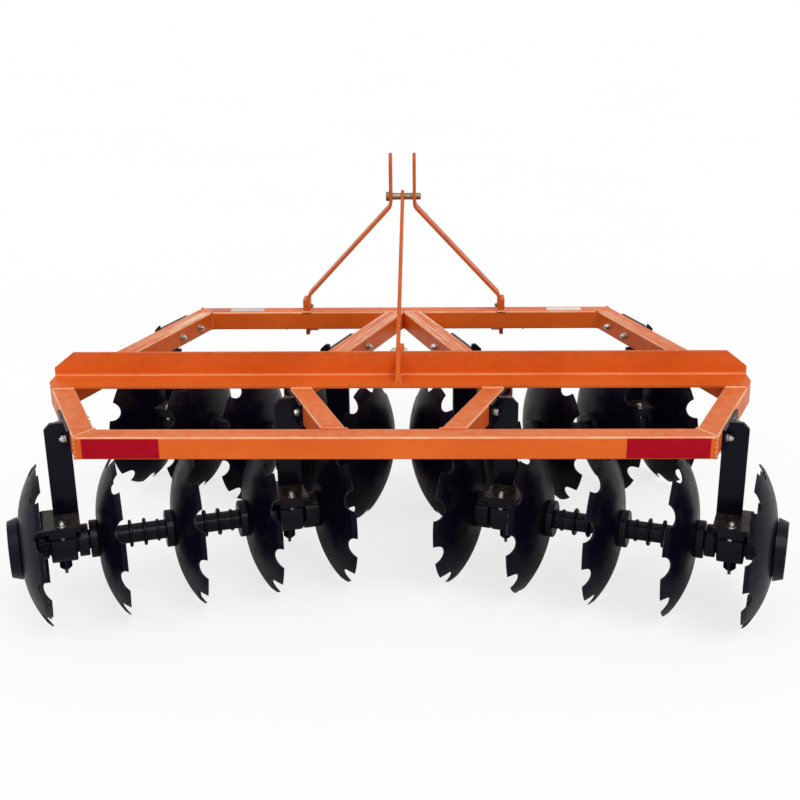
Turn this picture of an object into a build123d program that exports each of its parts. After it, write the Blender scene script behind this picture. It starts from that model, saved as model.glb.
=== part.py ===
"""Three-point mounted tandem disc harrow, 1.98 m wide, with twenty notched discs.

Frame: +Z up, +Y the way it is pulled, +X to the right of someone who stands behind it.
The origin is on the ground, under the middle of the machine. All sizes are in millimetres.
"""

from build123d import *
from math import asin, atan2, cos, degrees, hypot, radians, sin
import os

os.makedirs("parts", exist_ok=True)

# Frame outline, seen from above: half widths and distances from its widest point
FRONT_HALF_WIDTH = 681.0
MIDDLE_HALF_WIDTH = 965.0
REAR_HALF_WIDTH = 792.0
FRONT_REACH = 789.0
REAR_REACH = 397.0

# Square tube of the frame
TUBE = 60.0
TUBE_WALL = 4.0
TUBE_CORNER = 6.0
FRAME_TOP = 520.0

# Inner rails, by their centre lines
INNER_VERTEX_X = 287.0
INNER_VERTEX_Y = 34.0
INNER_REAR_X = 149.0

# Cross angle over the widest point
ANGLE_LENGTH = 1930.0
ANGLE_FLANGE = 100.0
ANGLE_WEB = 75.0
ANGLE_THICKNESS = 8.0
ANGLE_REAR_EDGE = -35.0
ANGLE_END_SLOPE = 56.0
ANGLE_END_DROP = 44.0
CUT_PAST = 1.0
GUSSET_THICKNESS = 12.0
GUSSET_X = 2.0
GUSSET_TOE = 12.0

# Notched discs
DISC_DIAMETER = 420.0
DISC_THICKNESS = 4.0
DISH_DEPTH = 57.0
EDGE_BEVEL = 16.0
EDGE_THICKNESS = 1.5
HUB_FLAT_RADIUS = 44.0
NOTCH_COUNT = 10
NOTCH_RADIUS = 29.3
NOTCH_DEPTH = 26.5
DISC_PITCH = 195.0
DISCS_PER_GANG = 5

# Gang axles: square bars with a nut outside and a head inside
AXLE_SIZE = 25.0
AXLE_FIT = 0.3
NUT_ACROSS_CORNERS = 48.0
NUT_HEIGHT = 16.0
HEAD_HEIGHT = 12.0
WASHER_DIAMETER = 90.0
OUTER_WASHER_THICKNESS = 12.0
INNER_WASHER_THICKNESS = 6.0

# Spools between the discs
SPOOL_TUBE_DIAMETER = 50.0
SPOOL_FLANGE_DIAMETER = 98.0
SPOOL_FLANGE_THICKNESS = 20.0
SPOOL_END_DIAMETER = 72.0
SPOOL_END_THICKNESS = 12.0
RING_THICKNESS = 8.0
RING_CHAMFER = 2.0
SHOULDER_LENGTH = 26.0
SHOULDER_DIAMETER = 84.0

# Rings on a spool. Columns: distance of its middle from the disc's back, diameter
SPOOL_RINGS = (
    (40.0, 58.0),
    (74.0, 72.0),
    (111.0, 72.0),
)

# Bell washers on the outer ends of the rear gangs
BELL_DIAMETER = 162.0
BELL_FACE_DIAMETER = 145.0
BELL_LENGTH = 26.0
BELL_MOUTH_DIAMETER = 116.0
BELL_RECESS_DIAMETER = 104.0
BELL_RECESS_DEPTH = 18.0

# Bearings and their housings
JOURNAL_DIAMETER = 60.0
JOURNAL_CLEARANCE = 0.1
HOUSING_DIAMETER = 100.0
HOUSING_LENGTH = 66.0
HOUSING_EDGE_RADIUS = 4.0
HOUSING_FOOT_THICKNESS = 14.0
HOUSING_FOOT_RISE = 5.0
HOUSING_BOSS_DIAMETER = 32.0
HOUSING_BOSS_DROP = 24.0
HOUSING_BOSS_CHAMFER = 6.0
END_PLAY = 5.0

# Hangers: a plate on the rail, an arm and a base plate over each bearing
HANGER_PLATE_LENGTH = 166.0
HANGER_PLATE_THICKNESS = 8.0
HANGER_PLATE_HEIGHT = 62.0
ARM_WIDTH = 64.0
ARM_THICKNESS = 12.0
ARM_TOP = 528.0
ARM_CHAMFER = 16.0
RAIL_GAP = 3.0
BASE_PLATE_WIDTH = 92.0
BASE_PLATE_LENGTH = 130.0
BASE_PLATE_THICKNESS = 12.0

# Mast of the three-point hitch
MAST_BAR_THICKNESS = 10.0
MAST_BAR_WIDTH = 60.0
MAST_HALF_GAP = 33.0
MAST_ABOVE_LINK = 24.0
LINK_ABOVE_BEND = 143.0
LINK_ABOVE_BRACE_PIN = 115.0
MAST_LOWER_BEND = 571.0
MAST_BEND_RADIUS = 30.0
TOP_LINK_BORE = 19.5
TOP_LINK_HEIGHT = 1013.0
BRACE_PIN_DIAMETER = 22.0
BRACE_PIN_HEAD_DIAMETER = 30.0
BRACE_PIN_HEAD = 11.0
BRACE_PIN_TAIL = 16.0
PIN_CHAMFER = 2.0
PIN_FIT = 0.4

# Brace from the mast down to the cross angle
BRACE_THICKNESS = 10.0
BRACE_WIDTH = 40.0
BRACE_FOOT_HEIGHT = 586.0
BRACE_FOOT_AHEAD = 26.0
BRACE_BOLT_HOLE = 17.0
LUG_THICKNESS = 12.0
LUG_WIDTH = 50.0
LUG_TOP_RADIUS = 22.0

# Lower hitch plates and pins
LOWER_HITCH_SPAN = 683.0
LOWER_PLATE_THICKNESS = 12.0
LOWER_PLATE_RISE = 41.0
LOWER_PLATE_NOSE_RADIUS = 30.0
LOWER_BOSS_DIAMETER = 48.0
LOWER_BOSS_LENGTH = 38.5
LOWER_PIN_DIAMETER = 22.0
LOWER_PIN_LENGTH = 75.0
LOWER_PIN_BELOW_TOP = 66.0
LOWER_PIN_AHEAD = 34.0
LOWER_PIN_COLLAR_DIAMETER = 40.0
LOWER_PIN_COLLAR = 9.0
LOWER_PIN_INNER = 20.0
LINCH_HOLE = 10.0
LINCH_HOLE_INSET = 14.0

# Gangs, one row each. Columns: name, hub of the innermost disc (x, y), gang angle in degrees,
# side on which the discs are hollow (+1 inward, -1 outward), the distance from the outermost
# hub to the outer bearing and from the innermost hub to the inner bearing
GANGS = (
    ("rear", 216.6, -139.6, -18.2, 1, 104.0, 83.0),
    ("front", 58.4, 261.5, 20.6, -1, 62.0, 133.0),
)

# Arms of the hangers. Columns: gang, how far outward of its bearing an arm stands, how far
# its outer edge leans outward up to the top, and how far forward of the axle the arm and the
# middle of its plate on the rail are
ARMS = {
    "rear": (-14.0, 0.0, 32.0, 68.0),
    "front": (14.0, 24.0, 20.0, 95.0),
}

# How the gangs stand at rest. Columns: gang, side, turn of its axle forward in degrees, and
# turn of every second disc on the axle, a multiple of the square bar's quarter turn
RESTING = (
    ("rear", "right", 2.0, 90.0),
    ("rear", "left", 9.0, 0.0),
    ("front", "right", 9.0, 90.0),
    ("front", "left", 7.0, 0.0),
)

AXIS_HEIGHT = DISC_DIAMETER / 2
TUBE_BOTTOM = FRAME_TOP - TUBE
TUBE_MIDDLE = FRAME_TOP - TUBE / 2
GANG_LENGTH = (DISCS_PER_GANG - 1) * DISC_PITCH


def unit(x, y):
    """Direction of length one."""
    length = hypot(x, y)
    return (x / length, y / length)


def crossing(point_a, way_a, point_b, way_b):
    """Point where two lines in the plan meet."""
    turn = way_a[0] * way_b[1] - way_a[1] * way_b[0]
    dx = point_b[0] - point_a[0]
    dy = point_b[1] - point_a[1]
    along = (dx * way_b[1] - dy * way_b[0]) / turn
    return (point_a[0] + along * way_a[0], point_a[1] + along * way_a[1])


def moved(point, way, distance):
    """Point moved along a direction in the plan."""
    return (point[0] + distance * way[0], point[1] + distance * way[1])


def save(builder, name):
    """Label a finished piece and write it."""
    builder.part.label = name
    export_step(builder.part, f"parts/{name}.step")


def save_side(builder, name, side):
    """Write a piece as built on the right, or its mirror image on the left."""
    if side == "right":
        save(builder, f"{name}_right")
    else:
        with BuildPart() as left:
            mirror(builder.part, about=Plane.YZ)
        save(left, f"{name}_left")


def save_pair(builder, name):
    """Write the right-hand piece and its mirror image on the left."""
    save_side(builder, name, "right")
    save_side(builder, name, "left")


def square_tube(start, end, start_normal, end_normal):
    """Square tube along a centre line in the plan, cut at each end across a given normal."""
    way = unit(end[0] - start[0], end[1] - start[1])
    overrun = 2 * TUBE
    tail = moved(start, way, -overrun)
    length = hypot(end[0] - start[0], end[1] - start[1]) + 2 * overrun
    with BuildPart() as rail:
        with BuildSketch(Plane((tail[0], tail[1], TUBE_MIDDLE), x_dir=(way[1], -way[0], 0),
                               z_dir=(way[0], way[1], 0))):
            RectangleRounded(TUBE, TUBE, TUBE_CORNER)
            RectangleRounded(TUBE - 2 * TUBE_WALL, TUBE - 2 * TUBE_WALL, TUBE_CORNER - TUBE_WALL / 2,
                             mode=Mode.SUBTRACT)
        extrude(amount=length)
        for point, normal, side in ((start, start_normal, 1), (end, end_normal, -1)):
            facing = side if normal[0] * way[0] + normal[1] * way[1] > 0 else -side
            split(bisect_by=Plane((point[0], point[1], 0), x_dir=(0, 0, 1),
                                  z_dir=(facing * normal[0], facing * normal[1], 0)), keep=Keep.TOP)
    return rail


# The origin lies midway between the noses of the hitch plates and the rearmost disc's rim
name, hub_x, hub_y, angle = GANGS[0][:4]
rear_rim = hub_y + (GANG_LENGTH - DISH_DEPTH) * sin(radians(angle)) - AXIS_HEIGHT * cos(radians(angle))
hitch_nose = FRONT_REACH + LOWER_PIN_AHEAD + LOWER_PLATE_NOSE_RADIUS
WIDEST_Y = -(hitch_nose + rear_rim) / 2

# Outer frame, right-hand side: the outline's corners and its centre line
front_y = WIDEST_Y + FRONT_REACH
rear_y = WIDEST_Y - REAR_REACH
front_corner = (FRONT_HALF_WIDTH, front_y)
middle_corner = (MIDDLE_HALF_WIDTH, WIDEST_Y)
rear_corner = (REAR_HALF_WIDTH, rear_y)
ACROSS = (1.0, 0.0)
AHEAD = (0.0, 1.0)
front_way = unit(middle_corner[0] - front_corner[0], middle_corner[1] - front_corner[1])
rear_way = unit(rear_corner[0] - middle_corner[0], rear_corner[1] - middle_corner[1])
front_outward = (-front_way[1], front_way[0])
rear_outward = (-rear_way[1], rear_way[0])
front_line = moved(front_corner, front_outward, -TUBE / 2)
rear_line = moved(rear_corner, rear_outward, -TUBE / 2)
front_bar_y = front_y - TUBE / 2
rear_bar_y = rear_y + TUBE / 2
front_joint = crossing(front_line, front_way, (0.0, front_bar_y), ACROSS)
middle_joint = crossing(front_line, front_way, rear_line, rear_way)
rear_joint = crossing(rear_line, rear_way, (0.0, rear_bar_y), ACROSS)
front_mitre = (ACROSS[0] + front_way[0], front_way[1])
middle_mitre = (front_way[0] + rear_way[0], front_way[1] + rear_way[1])
rear_mitre = (rear_way[0] - ACROSS[0], rear_way[1])

save_pair(square_tube(front_joint, middle_joint, front_mitre, middle_mitre), "front_rail")
save_pair(square_tube(middle_joint, rear_joint, middle_mitre, rear_mitre), "rear_rail")
save(square_tube((-front_joint[0], front_bar_y), front_joint,
                 (front_mitre[0], -front_mitre[1]), front_mitre), "front_bar")
save(square_tube(rear_joint, (-rear_joint[0], rear_bar_y), rear_mitre,
                 (rear_mitre[0], -rear_mitre[1])), "rear_bar")

# Inner rails: from the middle of the front bar out to a vertex, and in again to the rear bar
vertex = (INNER_VERTEX_X, WIDEST_Y + INNER_VERTEX_Y)
front_face_y = front_y - TUBE
rear_face_y = rear_y + TUBE
to_vertex = (vertex[0], vertex[1] - front_face_y)
inner_angle = atan2(to_vertex[0], -to_vertex[1]) - asin(TUBE / 2 / hypot(*to_vertex))
inner_front_way = (sin(inner_angle), -cos(inner_angle))
inner_rear_end = (INNER_REAR_X, rear_face_y)
inner_rear_way = unit(inner_rear_end[0] - vertex[0], inner_rear_end[1] - vertex[1])
inner_front_start = crossing(vertex, inner_front_way, (0.0, front_face_y), ACROSS)
inner_front_outward = (-inner_front_way[1], inner_front_way[0])
inner_rear_outward = (-inner_rear_way[1], inner_rear_way[0])
vertex_mitre = (inner_front_way[0] + inner_rear_way[0], inner_front_way[1] + inner_rear_way[1])
save_pair(square_tube(inner_front_start, vertex, AHEAD, vertex_mitre), "inner_front_rail")
save_pair(square_tube(vertex, inner_rear_end, vertex_mitre, AHEAD), "inner_rear_rail")

# Cross angle: its flange lies on the rails, its web stands on the forward side
angle_rear = WIDEST_Y + ANGLE_REAR_EDGE
angle_back = angle_rear + ANGLE_FLANGE
angle_top = FRAME_TOP + ANGLE_WEB
with BuildPart() as cross_angle:
    with BuildSketch(Plane.YZ):
        with BuildLine():
            Polyline((angle_rear, FRAME_TOP), (angle_back, FRAME_TOP), (angle_back, angle_top),
                     (angle_back - ANGLE_THICKNESS, angle_top),
                     (angle_back - ANGLE_THICKNESS, FRAME_TOP + ANGLE_THICKNESS),
                     (angle_rear, FRAME_TOP + ANGLE_THICKNESS), close=True)
        make_face()
    extrude(amount=ANGLE_LENGTH / 2, both=True)
    root_edge = cross_angle.edges().filter_by(Axis.X).sort_by_distance(
        (0, angle_back - ANGLE_THICKNESS, FRAME_TOP + ANGLE_THICKNESS))[0]
    fillet(root_edge, ANGLE_THICKNESS)
    with BuildSketch(Plane.XZ.offset(-angle_back - CUT_PAST)):
        with BuildLine():
            Polyline((ANGLE_LENGTH / 2 - ANGLE_END_SLOPE, angle_top),
                     (ANGLE_LENGTH / 2, angle_top - ANGLE_END_DROP),
                     (ANGLE_LENGTH / 2, angle_top), close=True)
        make_face()
        mirror(about=Plane.YZ)
    extrude(amount=ANGLE_THICKNESS + 2 * CUT_PAST, mode=Mode.SUBTRACT)
    # The flange's rear corners follow the outer side of the rear rails
    flange_tip = (ANGLE_LENGTH / 2, WIDEST_Y)
    beyond = crossing(flange_tip, rear_way, (0.0, angle_rear - ANGLE_FLANGE), ACROSS)
    with BuildSketch(Plane.XY.offset(FRAME_TOP - CUT_PAST)):
        with BuildLine():
            Polyline(flange_tip, (ANGLE_LENGTH, WIDEST_Y), (ANGLE_LENGTH, beyond[1]), beyond, close=True)
        make_face()
        mirror(about=Plane.YZ)
    extrude(amount=ANGLE_THICKNESS + 2 * CUT_PAST, mode=Mode.SUBTRACT)
save(cross_angle, "cross_angle")

# Gusset in the angle, where the brace pulls on it
with BuildPart() as angle_gusset:
    with BuildSketch(Plane.YZ.offset(GUSSET_X - GUSSET_THICKNESS / 2)):
        with BuildLine():
            Polyline((angle_rear + GUSSET_TOE, FRAME_TOP + ANGLE_THICKNESS),
                     (angle_back - 2 * ANGLE_THICKNESS, FRAME_TOP + ANGLE_THICKNESS),
                     (angle_back - ANGLE_THICKNESS, FRAME_TOP + 2 * ANGLE_THICKNESS),
                     (angle_back - ANGLE_THICKNESS, angle_top),
                     (angle_back - ANGLE_THICKNESS - GUSSET_TOE / 2, angle_top),
                     (angle_rear + GUSSET_TOE, FRAME_TOP + ANGLE_THICKNESS + GUSSET_TOE / 2),
                     close=True)
        make_face()
    extrude(amount=GUSSET_THICKNESS)
save(angle_gusset, "angle_gusset")

# Mast: two flat bars that stand on the front bar and come together at the top
mast_x = MAST_HALF_GAP + MAST_BAR_THICKNESS / 2
mast_top = TOP_LINK_HEIGHT + MAST_ABOVE_LINK
mast_bend = TOP_LINK_HEIGHT - LINK_ABOVE_BEND
brace_pin_height = TOP_LINK_HEIGHT - LINK_ABOVE_BRACE_PIN
foot_x = LOWER_HITCH_SPAN / 2 - LOWER_PIN_COLLAR - LOWER_PLATE_THICKNESS - MAST_BAR_THICKNESS / 2
with BuildPart() as mast:
    with BuildSketch(Plane.XZ.offset(-front_bar_y)):
        with BuildLine():
            FilletPolyline((mast_x, mast_top), (mast_x, mast_bend), (foot_x, MAST_LOWER_BEND),
                           (foot_x, FRAME_TOP), radius=MAST_BEND_RADIUS)
        trace(line_width=MAST_BAR_THICKNESS)
    extrude(amount=MAST_BAR_WIDTH / 2, both=True)
    fillet(mast.edges().filter_by(Axis.X).group_by(Axis.Z)[-1], MAST_BAR_WIDTH / 2 - 1)
    with Locations((mast_x, front_bar_y, TOP_LINK_HEIGHT)):
        Cylinder(TOP_LINK_BORE / 2, 2 * MAST_BAR_THICKNESS, rotation=(0, 90, 0), mode=Mode.SUBTRACT)
    with Locations((mast_x, front_bar_y, brace_pin_height)):
        Cylinder((BRACE_PIN_DIAMETER + PIN_FIT) / 2, 2 * MAST_BAR_THICKNESS, rotation=(0, 90, 0),
                 mode=Mode.SUBTRACT)
save_pair(mast, "mast_bar")

# Pin through the mast that holds the brace
pin_start = -MAST_HALF_GAP - MAST_BAR_THICKNESS
pin_end = MAST_HALF_GAP + MAST_BAR_THICKNESS + BRACE_PIN_TAIL
with BuildPart() as brace_pin:
    with BuildSketch(Plane.YZ.offset(pin_start)):
        with Locations((front_bar_y, brace_pin_height)):
            Circle(BRACE_PIN_DIAMETER / 2)
    extrude(amount=pin_end - pin_start)
    with BuildSketch(Plane.YZ.offset(pin_start)):
        with Locations((front_bar_y, brace_pin_height)):
            Circle(BRACE_PIN_HEAD_DIAMETER / 2)
    extrude(amount=-BRACE_PIN_HEAD)
    chamfer(brace_pin.edges().filter_by(GeomType.CIRCLE).group_by(Axis.X)[-1], PIN_CHAMFER)
    chamfer(brace_pin.edges().filter_by(GeomType.CIRCLE).group_by(Axis.X)[0], PIN_CHAMFER)
save(brace_pin, "brace_pin")

# Brace: a flat bar from the pin down to the lug ahead of the cross angle
brace_foot_y = angle_back + BRACE_FOOT_AHEAD
brace_run = front_bar_y - brace_foot_y
brace_drop = brace_pin_height - BRACE_FOOT_HEIGHT
with BuildPart() as brace:
    with BuildSketch(Plane.YZ.offset(-BRACE_THICKNESS / 2)):
        with Locations(((front_bar_y + brace_foot_y) / 2, (brace_pin_height + BRACE_FOOT_HEIGHT) / 2)):
            SlotCenterToCenter(hypot(brace_run, brace_drop), BRACE_WIDTH,
                               rotation=degrees(atan2(brace_drop, brace_run)))
        with Locations((front_bar_y, brace_pin_height)):
            Circle((BRACE_PIN_DIAMETER + PIN_FIT) / 2, mode=Mode.SUBTRACT)
        with Locations((brace_foot_y, BRACE_FOOT_HEIGHT)):
            Circle(BRACE_BOLT_HOLE / 2, mode=Mode.SUBTRACT)
    extrude(amount=BRACE_THICKNESS)
save(brace, "centre_brace")

# Lug for the brace, welded to the forward face of the cross angle
with BuildPart() as brace_lug:
    with BuildSketch(Plane.YZ.offset(BRACE_THICKNESS / 2)):
        with BuildLine():
            Polyline((angle_back, FRAME_TOP + ANGLE_THICKNESS), (angle_back, BRACE_FOOT_HEIGHT),
                     (brace_foot_y, BRACE_FOOT_HEIGHT + LUG_TOP_RADIUS),
                     (angle_back + LUG_WIDTH, BRACE_FOOT_HEIGHT),
                     (angle_back + LUG_WIDTH, FRAME_TOP + 3 * ANGLE_THICKNESS), close=True)
        make_face()
        with Locations((brace_foot_y, BRACE_FOOT_HEIGHT)):
            Circle(LUG_TOP_RADIUS)
            Circle(BRACE_BOLT_HOLE / 2, mode=Mode.SUBTRACT)
    extrude(amount=LUG_THICKNESS)
save(brace_lug, "brace_lug")

# Lower hitch plates: they hug the front bar, and a boss in each carries a lower hitch pin
plate_outer_x = LOWER_HITCH_SPAN / 2 - LOWER_PIN_COLLAR
boss_x = plate_outer_x - LOWER_BOSS_LENGTH
pin_y = front_y + LOWER_PIN_AHEAD
pin_z = FRAME_TOP - LOWER_PIN_BELOW_TOP
plate_top = FRAME_TOP + LOWER_PLATE_RISE
with BuildPart() as hitch_plate:
    with BuildSketch(Plane.YZ.offset(plate_outer_x - LOWER_PLATE_THICKNESS)):
        with BuildLine():
            Polyline((front_face_y, FRAME_TOP), (front_face_y, plate_top), (front_y, plate_top),
                     (pin_y + LOWER_PLATE_NOSE_RADIUS, pin_z), (pin_y, pin_z - LOWER_PLATE_NOSE_RADIUS),
                     (front_y, pin_z - LOWER_PLATE_NOSE_RADIUS), (front_y, FRAME_TOP), close=True)
        make_face()
        with Locations((pin_y, pin_z)):
            Circle(LOWER_PLATE_NOSE_RADIUS)
    extrude(amount=LOWER_PLATE_THICKNESS)
    with BuildSketch(Plane.YZ.offset(boss_x)):
        with Locations((pin_y, pin_z)):
            Circle(LOWER_BOSS_DIAMETER / 2)
    extrude(amount=LOWER_BOSS_LENGTH)
    with BuildSketch(Plane.YZ.offset(boss_x)):
        with Locations((pin_y, pin_z)):
            Circle((LOWER_PIN_DIAMETER + PIN_FIT) / 2)
    extrude(amount=LOWER_BOSS_LENGTH, mode=Mode.SUBTRACT)
save_pair(hitch_plate, "hitch_plate")

# Lower hitch pins: a collar seats on the plate, a nut on the boss, a hole for a linch pin outside
with BuildPart() as hitch_pin:
    with BuildSketch(Plane.YZ.offset(boss_x - LOWER_PIN_INNER)):
        with Locations((pin_y, pin_z)):
            Circle(LOWER_PIN_DIAMETER / 2)
    extrude(amount=LOWER_PIN_INNER + LOWER_BOSS_LENGTH + LOWER_PIN_COLLAR + LOWER_PIN_LENGTH)
    with BuildSketch(Plane.YZ.offset(plate_outer_x)):
        with Locations((pin_y, pin_z)):
            Circle(LOWER_PIN_COLLAR_DIAMETER / 2)
    extrude(amount=LOWER_PIN_COLLAR)
    with BuildSketch(Plane.YZ.offset(boss_x)):
        with Locations((pin_y, pin_z)):
            RegularPolygon(LOWER_PIN_COLLAR_DIAMETER / 2, 6)
    extrude(amount=-LOWER_PIN_INNER + LOWER_PIN_COLLAR / 3)
    with Locations((LOWER_HITCH_SPAN / 2 + LOWER_PIN_LENGTH - LINCH_HOLE_INSET, pin_y, pin_z)):
        Cylinder(LINCH_HOLE / 2, 2 * LOWER_PIN_DIAMETER, mode=Mode.SUBTRACT)
save_pair(hitch_pin, "hitch_pin")


# Disc: a flat hub and a dished rim with round notches, hollow toward its own +Z; its edge is
# ground thin on the back
dish_width = DISC_DIAMETER / 2 - HUB_FLAT_RADIUS
dish_radius = (dish_width ** 2 + DISH_DEPTH ** 2) / (2 * DISH_DEPTH)
dish_angle = asin(dish_width / dish_radius)
back_radius = dish_radius + DISC_THICKNESS
bevel_angle = dish_angle - EDGE_BEVEL / back_radius
bevel_start = (HUB_FLAT_RADIUS + back_radius * sin(bevel_angle),
               dish_radius - back_radius * cos(bevel_angle))
with BuildPart() as disc:
    with BuildSketch(Plane.XZ):
        with BuildLine():
            Line((0, 0), (HUB_FLAT_RADIUS, 0))
            TangentArc((HUB_FLAT_RADIUS, 0), (DISC_DIAMETER / 2, DISH_DEPTH), tangent=(1, 0))
            Line((DISC_DIAMETER / 2, DISH_DEPTH), (DISC_DIAMETER / 2, DISH_DEPTH - EDGE_THICKNESS))
            Line((DISC_DIAMETER / 2, DISH_DEPTH - EDGE_THICKNESS), bevel_start)
            TangentArc((HUB_FLAT_RADIUS, -DISC_THICKNESS), bevel_start, tangent=(1, 0))
            Line((HUB_FLAT_RADIUS, -DISC_THICKNESS), (0, -DISC_THICKNESS))
            Line((0, -DISC_THICKNESS), (0, 0))
        make_face()
    revolve(axis=Axis.Z)
    with BuildSketch(Plane.XY.offset(-2 * DISC_THICKNESS)):
        with PolarLocations(DISC_DIAMETER / 2 + NOTCH_RADIUS - NOTCH_DEPTH, NOTCH_COUNT):
            Circle(NOTCH_RADIUS)
        Rectangle(AXLE_SIZE + AXLE_FIT, AXLE_SIZE + AXLE_FIT)
    extrude(amount=DISH_DEPTH + 4 * DISC_THICKNESS, mode=Mode.SUBTRACT)


def ring_profile(steps):
    """Half section of a turned piece from steps of (start, end, diameter) along its axis."""
    points = [(0.0, steps[0][0])]
    for start, end, diameter in steps:
        radius = diameter / 2
        if diameter in (SPOOL_TUBE_DIAMETER, JOURNAL_DIAMETER):
            points += [(radius, start), (radius, end)]
        else:
            points += [(radius - RING_CHAMFER, start), (radius, start + RING_CHAMFER),
                       (radius, end - RING_CHAMFER), (radius - RING_CHAMFER, end)]
    points.append((0.0, steps[-1][1]))
    return points


def laid(bands, low, high, from_low):
    """Bands measured from one end of a stretch, as steps along the gang."""
    if from_low:
        return [(low + start, low + end, diameter) for start, end, diameter in bands]
    return [(high - end, high - start, diameter) for start, end, diameter in reversed(bands)]


def spool_steps(low, high, flange_low):
    """Spool from low to high: a wide flange at one end, a narrow end and rings between."""
    bands = [(0.0, SPOOL_FLANGE_THICKNESS, SPOOL_FLANGE_DIAMETER)]
    for middle, diameter in SPOOL_RINGS:
        ring_start = middle - RING_THICKNESS / 2
        bands.append((bands[-1][1], ring_start, SPOOL_TUBE_DIAMETER))
        bands.append((ring_start, ring_start + RING_THICKNESS, diameter))
    end_start = high - low - SPOOL_END_THICKNESS
    bands.append((bands[-1][1], end_start, SPOOL_TUBE_DIAMETER))
    bands.append((end_start, high - low, SPOOL_END_DIAMETER))
    return laid(bands, low, high, flange_low)


def stub_bands(length, flanged):
    """Bands from a disc to the shoulder at a journal; with little room, all of it is collar."""
    disc_end = SPOOL_FLANGE_THICKNESS if flanged else SPOOL_END_THICKNESS
    disc_size = SPOOL_FLANGE_DIAMETER if flanged else SPOOL_END_DIAMETER
    shoulder_size = SHOULDER_DIAMETER if flanged else SPOOL_END_DIAMETER
    shoulder_start = length - SHOULDER_LENGTH
    if shoulder_start <= disc_end:
        return [(0.0, length, disc_size)]
    return [(0.0, disc_end, disc_size), (disc_end, shoulder_start, SPOOL_TUBE_DIAMETER),
            (shoulder_start, length, shoulder_size)]


def bearing_steps(low, high, bearing, flange_low):
    """Spool from low to high with a plain journal for a bearing."""
    journal_low = bearing - HOUSING_LENGTH / 2 - END_PLAY
    journal_high = bearing + HOUSING_LENGTH / 2 + END_PLAY
    return (laid(stub_bands(journal_low - low, flange_low), low, journal_low, True)
            + [(journal_low, journal_high, JOURNAL_DIAMETER)]
            + laid(stub_bands(high - journal_high, not flange_low), journal_high, high, False))


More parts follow.
